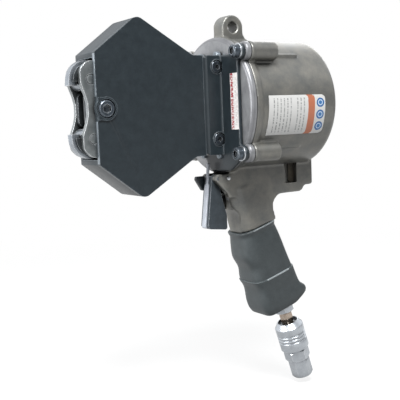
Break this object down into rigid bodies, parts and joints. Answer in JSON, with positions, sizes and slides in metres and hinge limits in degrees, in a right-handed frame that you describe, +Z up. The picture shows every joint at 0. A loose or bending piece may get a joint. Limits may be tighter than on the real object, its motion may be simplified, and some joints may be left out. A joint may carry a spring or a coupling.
{
  "type": "pneumatic strap sealer",
  "caption": "Pistol-grip air tool with a flat hexagonal jaw head that crimps seals on steel strapping, hung from an eye on its cylinder.",
  "frame": {"origin": "centre of the suspension eye's bore, on the tool's centre plane", "axes": "+X points to the rear of the tool, -Y to its near side with the data plate, +Z up; the head's nose points to -X"},
  "size_m": [0.228, 0.1108, 0.3185],
  "materials": {
    "cast_body": "satin die casting",
    "cast_cover": "satin die casting",
    "black_coat": "satin black coat",
    "jaw_steel": "ground and hardened",
    "pin_steel": "ground",
    "zinc_steel": "bright zinc plate",
    "black_steel": "black oxide",
    "spring_steel": "oiled",
    "bronze": "machined",
    "rubber": "matt",
    "grip_rubber": "satin",
    "trigger_metal": "satin",
    "brass_plug": "nickel tinted",
    "plate_film": "satin film",
    "piston_metal": "turned"
  },
  "bodies": {
    "frame": {"main_casting": "cast_body", "front_cover": "cast_cover", "cover_gasket": "rubber", "head_bracket": "black_coat", "cover_bolts": "black_steel", "bolt_washers": "zinc_steel", "near_cover_plate": "black_coat", "far_housing": "black_coat", "head_screw": "black_steel", "side_screws": "black_steel", "near_tie_plate": "jaw_steel", "far_tie_plate": "jaw_steel", "anvil_block": "jaw_steel", "jaw_pins": "pin_steel", "rod_bush": "bronze", "rod_seal": "rubber", "rear_bumper": "rubber", "return_spring": "spring_steel", "valve_bushing": "bronze", "valve_spring": "spring_steel", "valve_clip": "spring_steel", "trigger_pin": "pin_steel", "dowel_pin": "pin_steel", "exhaust_silencer": "bronze", "grip_sleeve": "grip_rubber", "inlet_nut": "zinc_steel", "inlet_screen": "pin_steel", "plug_nipple": "brass_plug", "data_plate": "plate_film", "bracket_plate": "plate_film"},
    "piston_assembly": {"piston": "piston_metal", "piston_seal": "rubber", "piston_rod": "pin_steel", "piston_nut": "zinc_steel", "crosshead": "jaw_steel", "crosshead_pin": "pin_steel"},
    "upper_jaw_body": {"upper_jaw": "jaw_steel", "upper_notchers": "jaw_steel", "upper_tail_pin": "pin_steel"},
    "lower_jaw_body": {"lower_jaw": "jaw_steel", "lower_notchers": "jaw_steel", "lower_tail_pin": "pin_steel"},
    "upper_link_body": {"upper_links": "jaw_steel"},
    "lower_link_body": {"lower_links": "jaw_steel"},
    "trigger_body": {"trigger": "trigger_metal"},
    "valve_body": {"valve_stem": "pin_steel", "stem_seals": "rubber"},
    "coupler": {"coupler_body": "zinc_steel", "coupler_end": "zinc_steel", "coupler_balls": "pin_steel", "coupler_spring": "spring_steel"},
    "coupler_sleeve_body": {"coupler_sleeve": "zinc_steel"}
  },
  "joints": [
    {"name": "piston_slide", "type": "slide", "parent": "frame", "child": "piston_assembly", "axis": [-1, 0, 0], "range_m": [0, 0.024], "stiffness_N_per_m": 2500, "springref_m": -0.02, "deforming": ["return_spring"]},
    {"name": "upper_jaw_hinge", "type": "hinge", "parent": "frame", "child": "upper_jaw_body", "pos_m": [-0.1311, 0, -0.0414], "axis": [0, -1, 0], "range_deg": [0, 24]},
    {"name": "lower_jaw_hinge", "type": "hinge", "parent": "frame", "child": "lower_jaw_body", "pos_m": [-0.1311, 0, -0.0854], "axis": [0, 1, 0], "range_deg": [0, 24]},
    {"name": "upper_link_hinge", "type": "hinge", "parent": "piston_assembly", "child": "upper_link_body", "pos_m": [-0.06132, 0, -0.0634], "axis": [0, 1, 0], "range_deg": [0, 26.5]},
    {"name": "lower_link_hinge", "type": "hinge", "parent": "piston_assembly", "child": "lower_link_body", "pos_m": [-0.06132, 0, -0.0634], "axis": [0, -1, 0], "range_deg": [0, 26.5]},
    {"name": "trigger_hinge", "type": "hinge", "parent": "frame", "child": "trigger_body", "pos_m": [-0.0221, 0, -0.1228], "axis": [0, -1, 0], "range_deg": [0, 10], "stiffness_Nm_per_rad": 0.6, "springref_deg": -11.46},
    {"name": "valve_slide", "type": "slide", "parent": "frame", "child": "valve_body", "axis": [1, 0, 0], "range_m": [0, 0.0022], "deforming": ["valve_spring"]},
    {"name": "coupler_swivel", "type": "hinge", "parent": "frame", "child": "coupler", "pos_m": [0.05269, 0, -0.25882], "axis": [0.2924, 0, -0.9563], "continuous": true},
    {"name": "coupler_sleeve_slide", "type": "slide", "parent": "coupler", "child": "coupler_sleeve_body", "axis": [-0.2924, 0, 0.9563], "range_m": [0, 0.003], "stiffness_N_per_m": 900, "springref_m": -0.004, "deforming": ["coupler_spring"]}
  ],
  "couplings": [
    {"joint": "upper_jaw_hinge", "follows": "piston_slide", "rad_per_m": 17.453},
    {"joint": "lower_jaw_hinge", "follows": "piston_slide", "rad_per_m": 17.453},
    {"joint": "upper_link_hinge", "follows": "piston_slide", "rad_per_m": 19.271},
    {"joint": "lower_link_hinge", "follows": "piston_slide", "rad_per_m": 19.271},
    {"joint": "valve_slide", "follows": "trigger_hinge", "m_per_rad": 0.0126}
  ]
}
